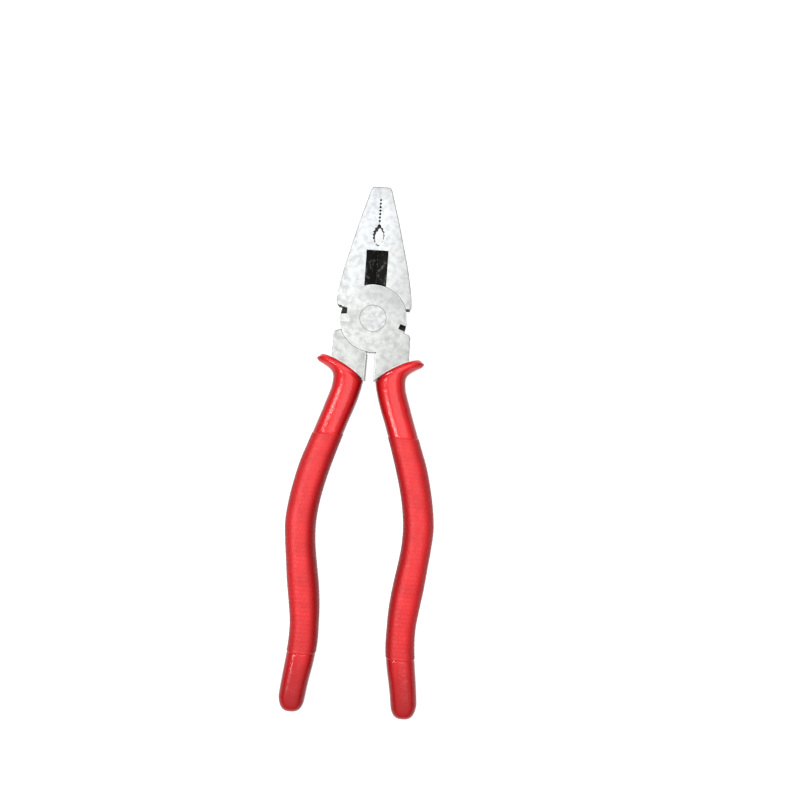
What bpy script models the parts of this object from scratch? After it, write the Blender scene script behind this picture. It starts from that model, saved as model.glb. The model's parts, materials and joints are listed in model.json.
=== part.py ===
"""Lineman pliers: two identical lap-joint forgings, a flush rivet and two moulded grip sleeves.

The tool lies flat with the pivot axis along +Z and the jaw tip towards +Y. Outlines below are
in millimetres measured from the pivot axis and the mid plane of the head. The back half is the
front half turned half a turn about the tool's long axis.
"""
import math

import bmesh
import bpy
from mathutils import Matrix, Vector

MM = 0.001
SAME = 1e-6                 # two coordinates this close are the same

# Overall lengths, from the pivot axis
TIP_Y = 52.1                # jaw tip
SLEEVE_END_Y = -157.9       # domed end of each sleeve
GAP = 0.3                   # clearance between neighbouring pieces
ROUND_STEPS = 72

# Head
HEAD_THICKNESS = 12.0       # at the joint
TIP_THICKNESS = 8.6
TAPER_FROM_Y = 14.0         # the head thins from here to the tip
SEAM_X = GAP / 2            # each jaw face stands half a gap off the centre line
RIM_BEVEL = 0.35
TIP_CORNER_X = 3.75         # where the tip would meet the jaw's side without its round
TIP_CORNER_R = 1.5
CORNER_STEPS = 4
JAW_SIDE = [(4.35, 50.3), (5.7, 45.6), (7.8, 38.3), (9.6, 31.4), (11.25, 25.0), (12.8, 18.6),
            (14.15, 11.6), (14.75, 7.2), (14.85, 5.3)]
JAW_SIDE_STEPS = 3          # points added between two given ones
JAW_HEEL = (14.2, 4.3)      # lower corner of the jaw, beside the shear slot

# Lap joint
DISC_R = 13.3
DISC_ARC_STEPS = 28
CROTCH_TURN_DEG = 2.5       # the disc's edge runs on this far past the shank's inner side
CROTCH_DROP = 0.9           # small slope from there into the shank
LAP_HALF_GAP = GAP / 2
RIVET_SHANK_R = 3.7
RIVET_HEAD_R = 5.25
RIVET_HEAD_DEPTH = 2.2
RIVET_HEAD_RIM = 0.4        # straight rim above the cone
RIVET_HEAD_EDGE = 0.12      # small chamfer at the face
RIVET_GAP = 0.15

# Gripping faces
SERRATION_PITCH = 1.38
SERRATION_DEPTH = 0.38
SERRATION_COUNT = 7
SERRATION_TOP_Y = 47.5
SERRATION_CREST_X = -0.09   # crests stay just short of the jaw's flat face
PIPE_GRIP_Y = (28.1, 37.5)
PIPE_GRIP_HALF_WIDTH = 2.6
PIPE_TOOTH_COUNT = 7
PIPE_TOOTH_DEPTH = 0.5
PIPE_THROAT_Y = (29.6, 36.9)    # plain oval in the middle of the thickness
PIPE_THROAT_HALF_WIDTH = 1.7
PIPE_THROAT_HALF_Z = 0.8
OPEN_SIDE_X = 1.0           # cutters of the jaw's flat face reach this far over the centre line

# Cutter pocket between the jaws
CUTTER_HALF_WIDTH = 4.3
CUTTER_TOP_Y = 26.9
CUTTER_LOW_Y = 8.0
CUTTING_EDGE_HALF_Z = 0.25
CUTTER_OVERCUT = 0.4        # the wedge's point runs on this far past the jaw's flat face

# Shear slots in the front disc, beside the jaw and beside the shank, and an index mark
JAW_SLOT = [(-10.3, 3.55), (-15.5, 4.53), (-15.5, 0.8), (-10.35, 1.2)]
SHANK_SLOT = [(10.9, -1.5), (14.6, -2.9), (13.85, -4.95), (10.2, -3.5)]
INDEX_MARK = [(-14.0, -2.0), (-14.0, -2.3), (-9.0, -2.45), (-9.0, -2.15)]
INDEX_MARK_DEPTH = 0.15

# Shank between the joint and the sleeve
SHANK_OUTER_X = 15.2
SHANK_INNER_X = 1.65
SHANK_FOOT_INSET = 0.2
SHANK_FOOT_STEPS = 8
SHOULDER = [(12.45, -4.95), (14.5, -5.65), (15.2, -6.6)]

# Sleeve: inner and outer side of the grip at chosen heights
SLEEVE_SIDES = [(-28.0, 3.0, 14.9), (-34.0, 4.7, 16.9), (-42.0, 7.5, 19.6), (-50.0, 10.2, 22.4),
                (-58.0, 12.7, 25.2), (-66.0, 14.9, 27.2), (-74.0, 16.6, 28.7),
                (-82.0, 17.5, 29.5), (-90.0, 17.3, 29.0), (-98.0, 16.2, 28.1),
                (-106.0, 14.9, 27.2), (-114.0, 14.0, 26.0), (-122.0, 13.7, 25.0),
                (-130.0, 13.7, 25.1), (-138.0, 14.6, 26.0), (-146.0, 16.1, 27.0),
                (-152.0, 17.0, 27.6)]
SLEEVE_HALF_THICKNESS = 6.6
SLEEVE_END_HALF_THICKNESS = 5.9
SLEEVE_SQUARENESS = 2.5     # exponent of the oval section
SECTION_POINTS = 28
DOME_Y = -151.0             # the domed end starts here
DOME_STEPS = 6
DOME_FIRST_DEG = 6.0        # the smallest section of the dome, as an angle from its pole
DOME_FULLNESS = 0.62        # below 1 the dome is blunter than a half ellipse
END_ZONE_STEPS = 4
GRIP_ZONE_STEPS = 18
GRIP_ZONE_Y = (-46.5, -133.6)
GRIP_ZONE_RISE = 0.22
GRIP_ZONE_EDGE = 0.5        # length of the slope up to the raised zone
THICK_FROM_SHARE = 1 / 3    # part of the raised zone in which the sleeve reaches full thickness
TOP_ZONE_STEPS = 5
SLEEVE_MOUTH = [(2.4, -24.6), (6.0, -21.5), (9.8, -19.05), (14.5, -16.75), (18.6, -15.35),
                (21.4, -15.5)]
GUARD_UNDERSIDE = [(14.75, -27.2), (14.5, -25.2), (14.5, -23.4), (15.1, -21.8), (16.6, -20.4),
                   (18.6, -19.2), (20.4, -18.2), (21.3, -17.2), (21.5, -16.2)]
FLARE_INNER_EASE = 0.6      # the flare's inner side turns early
FLARE_RISE_EASE = 0.8       # its sections crowd towards the mouth
MOUTH_ROUND_STEPS = 2
SLEEVE_MOUTH_ROUND = 0.4    # round at the edge of the mouth

# Tang inside the sleeve
TANG_TOP_Y = -16.0
TANG_END_Y = -147.0
TANG_HALF_WIDTH = (3.7, 2.6)       # at the mouth and at the end
TANG_HALF_THICKNESS = (3.9, 2.9)
TANG_CORNER_R = 1.2
TANG_STEPS = 16
TANG_CORNER_POINTS = 4
BORE_END_ROOM = 1.0
BORE_MOUTH_ROOM = 4.0       # the bore's cutter runs out past the mouth
CUT_ROOM = 1.0              # cutters stand this far out of the forging

PIVOT_Y = -(TIP_Y + SLEEVE_END_Y) / 2
PIVOT_Z = SLEEVE_HALF_THICKNESS + GRIP_ZONE_RISE


# ---------------------------------------------------------------- outline helpers

def arc(radius, start_deg, end_deg, steps, centre=(0.0, 0.0)):
    """Points along a circle, both ends included."""
    points = []
    for step in range(steps + 1):
        angle = math.radians(start_deg + (end_deg - start_deg) * step / steps)
        points.append((centre[0] + radius * math.cos(angle), centre[1] + radius * math.sin(angle)))
    return points


def catmull(values, position):
    """Smooth value at a fractional index of a list of numbers."""
    last = len(values) - 1
    index = min(int(position), last - 1)
    t = position - index
    p1 = values[index]
    p2 = values[index + 1]
    p0 = values[index - 1] if index > 0 else 2 * p1 - p2
    p3 = values[index + 2] if index + 2 <= last else 2 * p2 - p1
    return 0.5 * (2 * p1 + (p2 - p0) * t + (2 * p0 - 5 * p1 + 4 * p2 - p3) * t * t
                  + (3 * p1 - p0 - 3 * p2 + p3) * t * t * t)


def smooth_path(points, steps):
    """Smooth curve through 2D points, sampled evenly between each pair."""
    xs = [point[0] for point in points]
    ys = [point[1] for point in points]
    count = (len(points) - 1) * steps
    return [(catmull(xs, i / steps), catmull(ys, i / steps)) for i in range(count + 1)]


def fillet(before, corner, after, radius, steps):
    """Points of a round that replaces a corner."""
    b = (Vector(before) - Vector(corner)).normalized()
    a = (Vector(after) - Vector(corner)).normalized()
    half = b.angle(a) / 2
    centre = Vector(corner) + (a + b).normalized() * radius / math.sin(half)
    start = Vector(corner) + b * radius / math.tan(half) - centre
    end = Vector(corner) + a * radius / math.tan(half) - centre
    turn = start.angle_signed(end)
    points = []
    for step in range(steps + 1):
        spoke = start.copy()
        spoke.rotate(Matrix.Rotation(-turn * step / steps, 2))
        points.append(tuple(centre + spoke))
    return points


def sleeve_sides(y):
    """Inner and outer x of the sleeve at a height."""
    heights = [row[0] for row in SLEEVE_SIDES]
    inner = [row[1] for row in SLEEVE_SIDES]
    outer = [row[2] for row in SLEEVE_SIDES]
    if y >= heights[0]:
        position = 0.0
    elif y <= heights[-1]:
        position = float(len(heights) - 1)
    else:
        index = 0
        while heights[index + 1] > y:
            index += 1
        position = index + (heights[index] - y) / (heights[index] - heights[index + 1])
    return catmull(inner, position), catmull(outer, position)


# ---------------------------------------------------------------- mesh helpers

def mesh_object(name, bm, collection):
    """Turn a bmesh in millimetres into an object in metres."""
    bmesh.ops.recalc_face_normals(bm, faces=bm.faces)
    bm.transform(Matrix.Scale(MM, 4))
    mesh = bpy.data.meshes.new(name)
    bm.to_mesh(mesh)
    bm.free()
    obj = bpy.data.objects.new(name, mesh)
    collection.objects.link(obj)
    return obj


def prism(points, z_low, z_high):
    """Closed prism over a 2D outline."""
    bm = bmesh.new()
    low = [bm.verts.new((x, y, z_low)) for x, y in points]
    face = bm.faces.new(low)
    moved = bmesh.ops.extrude_face_region(bm, geom=[face])
    top = [item for item in moved["geom"] if isinstance(item, bmesh.types.BMVert)]
    bmesh.ops.translate(bm, verts=top, vec=(0, 0, z_high - z_low))
    return bm


def cylinder(radius, z_low, z_high):
    """Closed cylinder about the pivot axis."""
    bm = bmesh.new()
    shift = Matrix.Translation((0, 0, (z_low + z_high) / 2))
    bmesh.ops.create_cone(bm, cap_ends=True, segments=ROUND_STEPS, radius1=radius, radius2=radius,
                          depth=z_high - z_low, matrix=shift)
    return bm


def turned(name, profile, collection):
    """Solid turned about the pivot axis from (radius, z) points that run down its outer side."""
    mesh = bpy.data.meshes.new(name + "_profile")
    points = [(radius * MM, 0.0, z * MM) for radius, z in profile]
    mesh.from_pydata(points, [(i, i + 1) for i in range(len(points) - 1)], [])
    spun = bpy.data.objects.new(name + "_profile", mesh)
    collection.objects.link(spun)
    screw = spun.modifiers.new("turn", "SCREW")
    screw.steps = ROUND_STEPS
    screw.render_steps = ROUND_STEPS
    screw.use_merge_vertices = True
    screw.merge_threshold = 0.00001
    graph = bpy.context.evaluated_depsgraph_get()
    result = bpy.data.meshes.new_from_object(spun.evaluated_get(graph))
    bpy.data.objects.remove(spun)
    obj = bpy.data.objects.new(name, result)
    collection.objects.link(obj)
    return obj


def walls(rings):
    """Side walls over rings of equal length; returns the bmesh and its two end rings."""
    bm = bmesh.new()
    verts = [[bm.verts.new(point) for point in ring] for ring in rings]
    count = len(verts[0])
    for a, b in zip(verts, verts[1:]):
        for i in range(count):
            j = (i + 1) % count
            bm.faces.new((a[i], a[j], b[j], b[i]))
    return bm, (verts[0], verts[-1])


def loft(rings):
    """Closed solid over flat rings, with a flat face at each end."""
    bm, ends = walls(rings)
    for ring in ends:
        bm.faces.new(ring)
    return bm


def skin(rings):
    """Closed solid over ovals, capped by strips across each end ring."""
    bm, ends = walls(rings)
    for ring in ends:
        count = len(ring)
        for i in range(count // 2):
            near = [ring[i], ring[i + 1]]
            far = [ring[(-i - 1) % count], ring[-i % count]]
            bm.faces.new(list(dict.fromkeys(near + far)))
    return bm


def apply_boolean(target, cutter, operation="DIFFERENCE"):
    """Boolean a finished cutter object into a target."""
    cutter.hide_render = True
    cutter.display_type = "WIRE"
    modifier = target.modifiers.new(cutter.name, "BOOLEAN")
    modifier.operation = operation
    modifier.solver = "EXACT"
    modifier.object = cutter
    graph = bpy.context.evaluated_depsgraph_get()
    result = bpy.data.meshes.new_from_object(target.evaluated_get(graph))
    target.modifiers.remove(modifier)
    target.data = result


def cut(target, bm, name, operation="DIFFERENCE"):
    """Boolean a bmesh solid into an object."""
    apply_boolean(target, mesh_object(name, bm, cutters), operation)


# ---------------------------------------------------------------- forging

def head_thickness_ratio(y):
    """Thickness of the head at a height, as a share of its thickness at the joint."""
    if y <= TAPER_FROM_Y:
        return 1.0
    share = (y - TAPER_FROM_Y) / (TIP_Y - TAPER_FROM_Y)
    return 1.0 + share * (TIP_THICKNESS / HEAD_THICKNESS - 1.0)


def mouth_height(x):
    """Height of the sleeve's top edge at a distance from the centre line."""
    xs = [point[0] for point in SLEEVE_MOUTH]
    ys = [point[1] for point in SLEEVE_MOUTH]
    if x <= xs[0]:
        return ys[0] + (x - xs[0]) * (ys[1] - ys[0]) / (xs[1] - xs[0])
    index = 0
    while index < len(xs) - 2 and xs[index + 1] < x:
        index += 1
    return catmull(ys, index + (x - xs[index]) / (xs[index + 1] - xs[index]))


def shank_foot():
    """Lower edge of the bare shank, which follows the sleeve's top edge a gap above it."""
    first = SHANK_INNER_X + SHANK_FOOT_INSET
    points = []
    for step in range(SHANK_FOOT_STEPS + 1):
        x = first + (SHANK_OUTER_X - first) * step / SHANK_FOOT_STEPS
        points.append((x, mouth_height(x) + GAP))
    return points


def forging_outline():
    """Front view of one forging: left jaw, joint disc and right shank down to the sleeve."""
    side = smooth_path([(-x, y) for x, y in JAW_SIDE], JAW_SIDE_STEPS)
    tip = [(-SEAM_X, TIP_Y)]
    tip += fillet(tip[0], (-TIP_CORNER_X, TIP_Y), side[0], TIP_CORNER_R, CORNER_STEPS)
    heel_angle = 180 - math.degrees(math.asin(JAW_HEEL[1] / DISC_R))
    crotch_angle = 360 - math.degrees(math.acos(SHANK_INNER_X / DISC_R)) + CROTCH_TURN_DEG
    left_arc = arc(DISC_R, heel_angle, crotch_angle, DISC_ARC_STEPS)
    shank_inside = [(SHANK_INNER_X, -DISC_R - CROTCH_DROP)]
    shoulder_angle = math.degrees(math.asin(SHOULDER[0][1] / DISC_R))
    seam_angle = 90 + math.degrees(math.asin(SEAM_X / DISC_R))
    right_arc = arc(DISC_R, shoulder_angle, seam_angle, DISC_ARC_STEPS)
    outline = tip + side + [(-JAW_HEEL[0], JAW_HEEL[1])] + left_arc + shank_inside
    outline += shank_foot() + [SHOULDER[2], SHOULDER[1]] + right_arc
    return outline


def forging_blank():
    """Full-thickness blank, thinned towards the tip; its rims are bevelled but for the seam's."""
    half = HEAD_THICKNESS / 2
    bm = prism(forging_outline(), -half, half)
    rims = [edge for edge in bm.edges if abs(edge.verts[0].co.z - edge.verts[1].co.z) < SAME
            and max(abs(vert.co.x + SEAM_X) for vert in edge.verts) > SAME]
    bmesh.ops.bevel(bm, geom=rims, offset=RIM_BEVEL, segments=2, profile=0.5, affect="EDGES")
    everything = bm.verts[:] + bm.edges[:] + bm.faces[:]
    bmesh.ops.bisect_plane(bm, geom=everything, dist=1e-5,
                           plane_co=(0, TAPER_FROM_Y, 0), plane_no=(0, 1, 0))
    for vert in bm.verts:
        vert.co.z *= head_thickness_ratio(vert.co.y)
    return bm


def tang_rings(grow, top_extra, end_extra):
    """Rounded rectangular rings of the tang, or of the bore around it, from end to mouth."""
    rings = []
    for step in range(TANG_STEPS + 1):
        y = TANG_END_Y + (TANG_TOP_Y - TANG_END_Y) * step / TANG_STEPS
        inner, outer = sleeve_sides(y)
        if step == 0:
            y -= end_extra
        if step == TANG_STEPS:
            y += top_extra
        share = min(1.0, max(0.0, (y - TANG_END_Y) / (TANG_TOP_Y - TANG_END_Y)))
        half_x = TANG_HALF_WIDTH[1] + share * (TANG_HALF_WIDTH[0] - TANG_HALF_WIDTH[1]) + grow
        half_z = TANG_HALF_THICKNESS[1] + share * (TANG_HALF_THICKNESS[0] - TANG_HALF_THICKNESS[1])
        half_z += grow
        centre = (inner + outer) / 2
        corner = TANG_CORNER_R
        ring = []
        for quarter in range(4):
            sign_x = (1, -1, -1, 1)[quarter]
            sign_z = (1, 1, -1, -1)[quarter]
            middle = (centre + sign_x * (half_x - corner), sign_z * (half_z - corner))
            for part in range(TANG_CORNER_POINTS):
                angle = math.radians(90 * (quarter + part / (TANG_CORNER_POINTS - 1)))
                ring.append((middle[0] + corner * math.cos(angle), y,
                             middle[1] + corner * math.sin(angle)))
        rings.append(ring)
    return rings


def pipe_grip_outline():
    """Left half of the toothed, pointed oval at the forging's faces."""
    low, high = PIPE_GRIP_Y
    half = (high - low) / 2
    points = []
    last = PIPE_TOOTH_COUNT * 2
    for step in range(last, -1, -1):
        share = 2 * step / last - 1
        width = PIPE_GRIP_HALF_WIDTH * (1 - share * share)
        point = Vector((-width, (low + high) / 2 + half * share))
        inwards = Vector((1, -2 * PIPE_GRIP_HALF_WIDTH * share / half)).normalized()
        if step % 2 == 0 and 0 < step < last:
            point += inwards * PIPE_TOOTH_DEPTH
        points.append((min(point.x, SERRATION_CREST_X), point.y))
    return points


def pipe_throat_outline():
    """Left half of the plain oval in the middle of the thickness, with as many points."""
    low, high = PIPE_THROAT_Y
    half = (high - low) / 2
    points = []
    last = PIPE_TOOTH_COUNT * 2
    for step in range(last, -1, -1):
        angle = math.pi * (step / last - 0.5)
        x = min(-PIPE_THROAT_HALF_WIDTH * math.cos(angle), SERRATION_CREST_X)
        points.append((x, (low + high) / 2 + half * math.sin(angle)))
    return points


def pipe_grip_cutter():
    """Hole that narrows from the toothed oval at each face to the plain one between them."""
    toothed = pipe_grip_outline()
    plain = pipe_throat_outline()
    half = HEAD_THICKNESS / 2
    rings = []
    for outline, z in ((toothed, -half), (plain, -PIPE_THROAT_HALF_Z),
                       (plain, PIPE_THROAT_HALF_Z), (toothed, half)):
        open_side = [(OPEN_SIDE_X, outline[-1][1]), (OPEN_SIDE_X, outline[0][1])]
        rings.append([(x, y, z) for x, y in open_side + outline])
    return loft(rings)


def serration_outline():
    """Comb that cuts the fine teeth of the left jaw's flat face."""
    points = [(OPEN_SIDE_X, SERRATION_TOP_Y)]
    for tooth in range(SERRATION_COUNT):
        top = SERRATION_TOP_Y - tooth * SERRATION_PITCH
        points.append((SERRATION_CREST_X, top))
        points.append((-SEAM_X - SERRATION_DEPTH, top - SERRATION_PITCH / 2))
    low = SERRATION_TOP_Y - SERRATION_COUNT * SERRATION_PITCH
    points += [(SERRATION_CREST_X, low), (OPEN_SIDE_X, low)]
    return points


def cutter_pocket(side):
    """Wedge that leaves the left jaw's cutting edge at mid thickness; side is +1 for the front.

    It thins with the head, so that the pocket is equally wide all along its length.
    """
    half = HEAD_THICKNESS / 2
    slope = (half - CUTTING_EDGE_HALF_Z) / (CUTTER_HALF_WIDTH - SEAM_X)
    outer = CUTTER_HALF_WIDTH + CUT_ROOM / slope
    point_z = CUTTING_EDGE_HALF_Z - CUTTER_OVERCUT * slope
    section = [(-SEAM_X + CUTTER_OVERCUT, point_z), (-outer, half + CUT_ROOM),
               (OPEN_SIDE_X, half + CUT_ROOM), (OPEN_SIDE_X, point_z)]
    rings = []
    for y in (CUTTER_LOW_Y, TAPER_FROM_Y, CUTTER_TOP_Y):
        thinned = side * head_thickness_ratio(y)
        rings.append([(x, y, z * thinned) for x, z in section])
    return loft(rings)


def make_forging(name):
    """One forged half: left jaw, front disc and right shank with its tang."""
    half = HEAD_THICKNESS / 2
    reach = half + CUT_ROOM
    body = mesh_object(name, forging_blank(), parts)
    cut(body, skin(tang_rings(0.0, 0.0, 0.0)), name + "_tang", "UNION")

    # Cutter pocket from both faces, which stops at the rim of the disc and at its inner face
    for side, label, stop_z in ((1, "_front", -2 * reach), (-1, "_back", 0.0)):
        pocket = mesh_object(name + "_pocket" + label, cutter_pocket(side), cutters)
        cut(pocket, cylinder(DISC_R, stop_z, 2 * reach), name + "_pocket_stop" + label)
        apply_boolean(body, pocket)

    # Room for the other half's disc
    cut(body, cylinder(DISC_R + GAP, -reach, LAP_HALF_GAP), name + "_lap")

    # Rivet hole with a countersink on the front face
    hole_r = RIVET_SHANK_R + RIVET_GAP
    head_r = RIVET_HEAD_R + RIVET_GAP
    hole = [(0, reach), (head_r, reach), (head_r, half - RIVET_HEAD_RIM),
            (hole_r, half - RIVET_HEAD_DEPTH), (hole_r, -reach), (0, -reach)]
    apply_boolean(body, turned(name + "_rivet_hole", hole, cutters))

    # Gripping faces, slots and mark
    cut(body, prism(serration_outline(), -reach, reach), name + "_serrations")
    cut(body, pipe_grip_cutter(), name + "_pipe_grip")
    cut(body, prism(JAW_SLOT, 0.0, reach), name + "_jaw_slot")
    cut(body, prism(SHANK_SLOT, 0.0, reach), name + "_shank_slot")
    cut(body, prism(INDEX_MARK, half - INDEX_MARK_DEPTH, reach), name + "_index_mark")
    return body


# ---------------------------------------------------------------- sleeve

def oval_ring(spine, half_z):
    """Oval section; spine maps a share 0..1 across the sleeve to a point in the front view."""
    ring = []
    for i in range(SECTION_POINTS):
        angle = 2 * math.pi * i / SECTION_POINTS
        c = math.cos(angle)
        s = math.sin(angle)
        u = math.copysign(abs(c) ** (2 / SLEEVE_SQUARENESS), c)
        v = math.copysign(abs(s) ** (2 / SLEEVE_SQUARENESS), s)
        x, y = spine((u + 1) / 2)
        ring.append((x, y, v * half_z))
    return ring


def level_ring(y, half_z, grow=0.0, squeeze=1.0):
    """Level oval section of the sleeve at a height."""
    inner, outer = sleeve_sides(y)
    centre = (inner + outer) / 2
    half_x = (outer - inner) / 2 * squeeze + grow

    def spine(share):
        return centre + half_x * (2 * share - 1), y

    return oval_ring(spine, half_z * squeeze + grow)


def flare_ring(share_up, outer, half_z, inset):
    """Section of the flare; share_up is 0 where the flare begins and 1 at the mouth."""
    start = Vector((SLEEVE_SIDES[0][1], SLEEVE_SIDES[0][0]))
    mouth = Vector(SLEEVE_MOUTH[0])
    inner = start.lerp(mouth, share_up ** FLARE_INNER_EASE) + Vector((inset, 0))
    end = Vector(outer) - Vector((inset, 0))
    chord = Vector(SLEEVE_MOUTH[-1]) - mouth

    def spine(share):
        x_at_mouth = mouth.x + chord.x * share
        bulge = mouth_height(x_at_mouth) - (mouth.y + chord.y * share)
        point = inner.lerp(end, share)
        return point.x, point.y + bulge * share_up

    return oval_ring(spine, half_z - inset)


def between(first, last, steps):
    """Evenly spaced numbers, both ends included."""
    return [first + (last - first) * step / steps for step in range(steps + 1)]


def sleeve_rings():
    """Sections of the sleeve from its domed end up to the guard."""
    zone_high, zone_low = GRIP_ZONE_Y
    thick = SLEEVE_HALF_THICKNESS
    thin = SLEEVE_END_HALF_THICKNESS
    dome_length = DOME_Y - SLEEVE_END_Y
    rings = []
    for angle_deg in between(DOME_FIRST_DEG, 90, DOME_STEPS)[:-1]:
        angle = math.radians(angle_deg)
        squeeze = math.sin(angle) ** DOME_FULLNESS
        rings.append(level_ring(DOME_Y - dome_length * math.cos(angle), thin, 0.0, squeeze))
    for y in between(DOME_Y, zone_low - GRIP_ZONE_EDGE, END_ZONE_STEPS):
        rings.append(level_ring(y, thin))
    for share in between(0, 1, GRIP_ZONE_STEPS):
        y = zone_low + (zone_high - zone_low) * share
        swell = min(1.0, share / THICK_FROM_SHARE) * (thick - thin)
        rings.append(level_ring(y, thin + swell, GRIP_ZONE_RISE))
    for y in between(zone_high + GRIP_ZONE_EDGE, SLEEVE_SIDES[0][0], TOP_ZONE_STEPS):
        rings.append(level_ring(y, thick))
    last = len(GUARD_UNDERSIDE)
    for index, outer in enumerate(GUARD_UNDERSIDE):
        share_up = ((index + 1) / last) ** FLARE_RISE_EASE
        near_edge = max(0, index + 1 - last + MOUTH_ROUND_STEPS) / MOUTH_ROUND_STEPS
        rings.append(flare_ring(share_up, outer, thick, SLEEVE_MOUTH_ROUND * near_edge ** 2))
    return rings


def make_sleeve(name):
    """One moulded sleeve with its thumb guard, hollow for the tang."""
    body = mesh_object(name, skin(sleeve_rings()), parts)
    bore = skin(tang_rings(GAP, BORE_MOUTH_ROOM, BORE_END_ROOM))
    cut(body, bore, name + "_bore")
    return body


# ---------------------------------------------------------------- rivet

def make_rivet(name):
    """Flush rivet with a cone under each head."""
    half = HEAD_THICKNESS / 2
    edge_r = RIVET_HEAD_R - RIVET_HEAD_EDGE
    upper = [(0, half), (edge_r, half), (RIVET_HEAD_R, half - RIVET_HEAD_EDGE),
             (RIVET_HEAD_R, half - RIVET_HEAD_RIM), (RIVET_SHANK_R, half - RIVET_HEAD_DEPTH)]
    lower = [(radius, -z) for radius, z in reversed(upper)]
    return turned(name, upper + lower, parts)


# ---------------------------------------------------------------- materials and assembly

def material(name, colour, metallic, roughness):
    """Plain material for one piece."""
    mat = bpy.data.materials.new(name)
    mat.use_nodes = True
    shader = mat.node_tree.nodes["Principled BSDF"]
    shader.inputs["Base Color"].default_value = (*colour, 1.0)
    shader.inputs["Metallic"].default_value = metallic
    shader.inputs["Roughness"].default_value = roughness
    return mat


def place(obj, turned_over, mat, smooth_angle):
    """Put a piece's origin on the pivot axis, turned over for the back half."""
    obj.location = (0.0, PIVOT_Y * MM, PIVOT_Z * MM)
    if turned_over:
        obj.rotation_euler = (0.0, math.pi, 0.0)
    obj.data.materials.clear()
    obj.data.materials.append(mat)
    obj.data.polygons.foreach_set("use_smooth", [True] * len(obj.data.polygons))
    obj.data.set_sharp_from_angle(angle=math.radians(smooth_angle))


def new_collection(name):
    collection = bpy.data.collections.new(name)
    bpy.context.scene.collection.children.link(collection)
    return collection


for old in list(bpy.data.objects):
    bpy.data.objects.remove(old)

parts = new_collection("lineman_pliers")
cutters = new_collection("cutters")

place(make_forging("front_jaw_half"), False, material("front_steel", (0.80, 0.81, 0.80), 1.0, 0.42), 30)
place(make_forging("back_jaw_half"), True, material("back_steel", (0.79, 0.80, 0.79), 1.0, 0.42), 30)
place(make_rivet("pivot_rivet"), False, material("rivet_steel", (0.82, 0.83, 0.82), 1.0, 0.38), 30)
place(make_sleeve("right_grip_sleeve"), False, material("right_sleeve", (0.78, 0.05, 0.05), 0.0, 0.32), 40)
place(make_sleeve("left_grip_sleeve"), True, material("left_sleeve", (0.77, 0.05, 0.05), 0.0, 0.32), 40)
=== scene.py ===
import json
import math

import bmesh
import bpy
import numpy as np
from mathutils import Matrix, Vector


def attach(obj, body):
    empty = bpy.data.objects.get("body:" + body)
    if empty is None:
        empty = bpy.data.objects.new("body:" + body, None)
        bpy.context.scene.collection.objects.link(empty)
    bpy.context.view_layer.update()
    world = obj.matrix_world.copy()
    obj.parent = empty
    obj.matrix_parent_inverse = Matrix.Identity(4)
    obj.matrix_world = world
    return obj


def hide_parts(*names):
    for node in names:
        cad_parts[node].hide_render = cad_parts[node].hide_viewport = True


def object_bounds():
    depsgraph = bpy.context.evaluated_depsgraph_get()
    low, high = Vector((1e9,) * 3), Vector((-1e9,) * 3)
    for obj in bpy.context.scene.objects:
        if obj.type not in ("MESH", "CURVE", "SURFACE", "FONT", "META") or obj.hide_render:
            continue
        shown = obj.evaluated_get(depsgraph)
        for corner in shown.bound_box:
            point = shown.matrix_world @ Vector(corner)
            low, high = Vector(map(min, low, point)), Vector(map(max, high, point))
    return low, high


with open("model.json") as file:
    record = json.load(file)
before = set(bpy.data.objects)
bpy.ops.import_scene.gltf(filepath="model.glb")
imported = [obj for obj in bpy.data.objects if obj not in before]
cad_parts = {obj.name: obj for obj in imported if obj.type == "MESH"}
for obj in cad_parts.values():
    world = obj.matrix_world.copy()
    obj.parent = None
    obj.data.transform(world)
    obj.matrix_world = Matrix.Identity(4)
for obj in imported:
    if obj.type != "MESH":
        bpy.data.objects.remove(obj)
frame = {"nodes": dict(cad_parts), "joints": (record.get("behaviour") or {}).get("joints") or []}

MM = 0.001
CAD_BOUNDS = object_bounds()
PIVOT = Vector(frame["joints"][0]["pos_m"])
TOOL_TOP_Z = CAD_BOUNDS[1].z

# Sleeve, as in the CAD: height, inner side and outer side of the grip
SLEEVE_SIDES = [(-28.0, 3.0, 14.9), (-34.0, 4.7, 16.9), (-42.0, 7.5, 19.6), (-50.0, 10.2, 22.4),
                (-58.0, 12.7, 25.2), (-66.0, 14.9, 27.2), (-74.0, 16.6, 28.7),
                (-82.0, 17.5, 29.5), (-90.0, 17.3, 29.0), (-98.0, 16.2, 28.1),
                (-106.0, 14.9, 27.2), (-114.0, 14.0, 26.0), (-122.0, 13.7, 25.0),
                (-130.0, 13.7, 25.1), (-138.0, 14.6, 26.0), (-146.0, 16.1, 27.0),
                (-152.0, 17.0, 27.6)]
SLEEVE_MOUTH = [(2.4, -24.6), (6.0, -21.5), (9.8, -19.05), (14.5, -16.75), (18.6, -15.35),
                (21.4, -15.5)]
GUARD_UNDERSIDE = [(14.9, -28.0), (14.75, -27.2), (14.5, -25.2), (14.5, -23.4), (15.1, -21.8),
                   (16.6, -20.4), (18.6, -19.2), (20.4, -18.2), (21.3, -17.2), (21.5, -16.2)]
SLEEVE_END_Y = -157.86      # a hair short, as the CAD's faceted end is
SLEEVE_HALF_THICKNESS = 6.6
SLEEVE_END_HALF_THICKNESS = 5.9
SLEEVE_SQUARENESS = 2.5
DOME_Y = -151.0
DOME_FULLNESS = 0.62
FLARE_INNER_EASE = 0.6
FLARE_RISE_EASE = 0.8
GRIP_ZONE_Y = (-46.5, -133.6)
GRIP_ZONE_RISE = 0.165      # the smooth section stays inside the CAD's faceted one
THICK_FROM_SHARE = 1 / 3
TANG_END_Y = -147.0
TANG_TOP_Y = -16.0
TANG_HALF_WIDTH = (3.7, 2.6)
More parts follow.
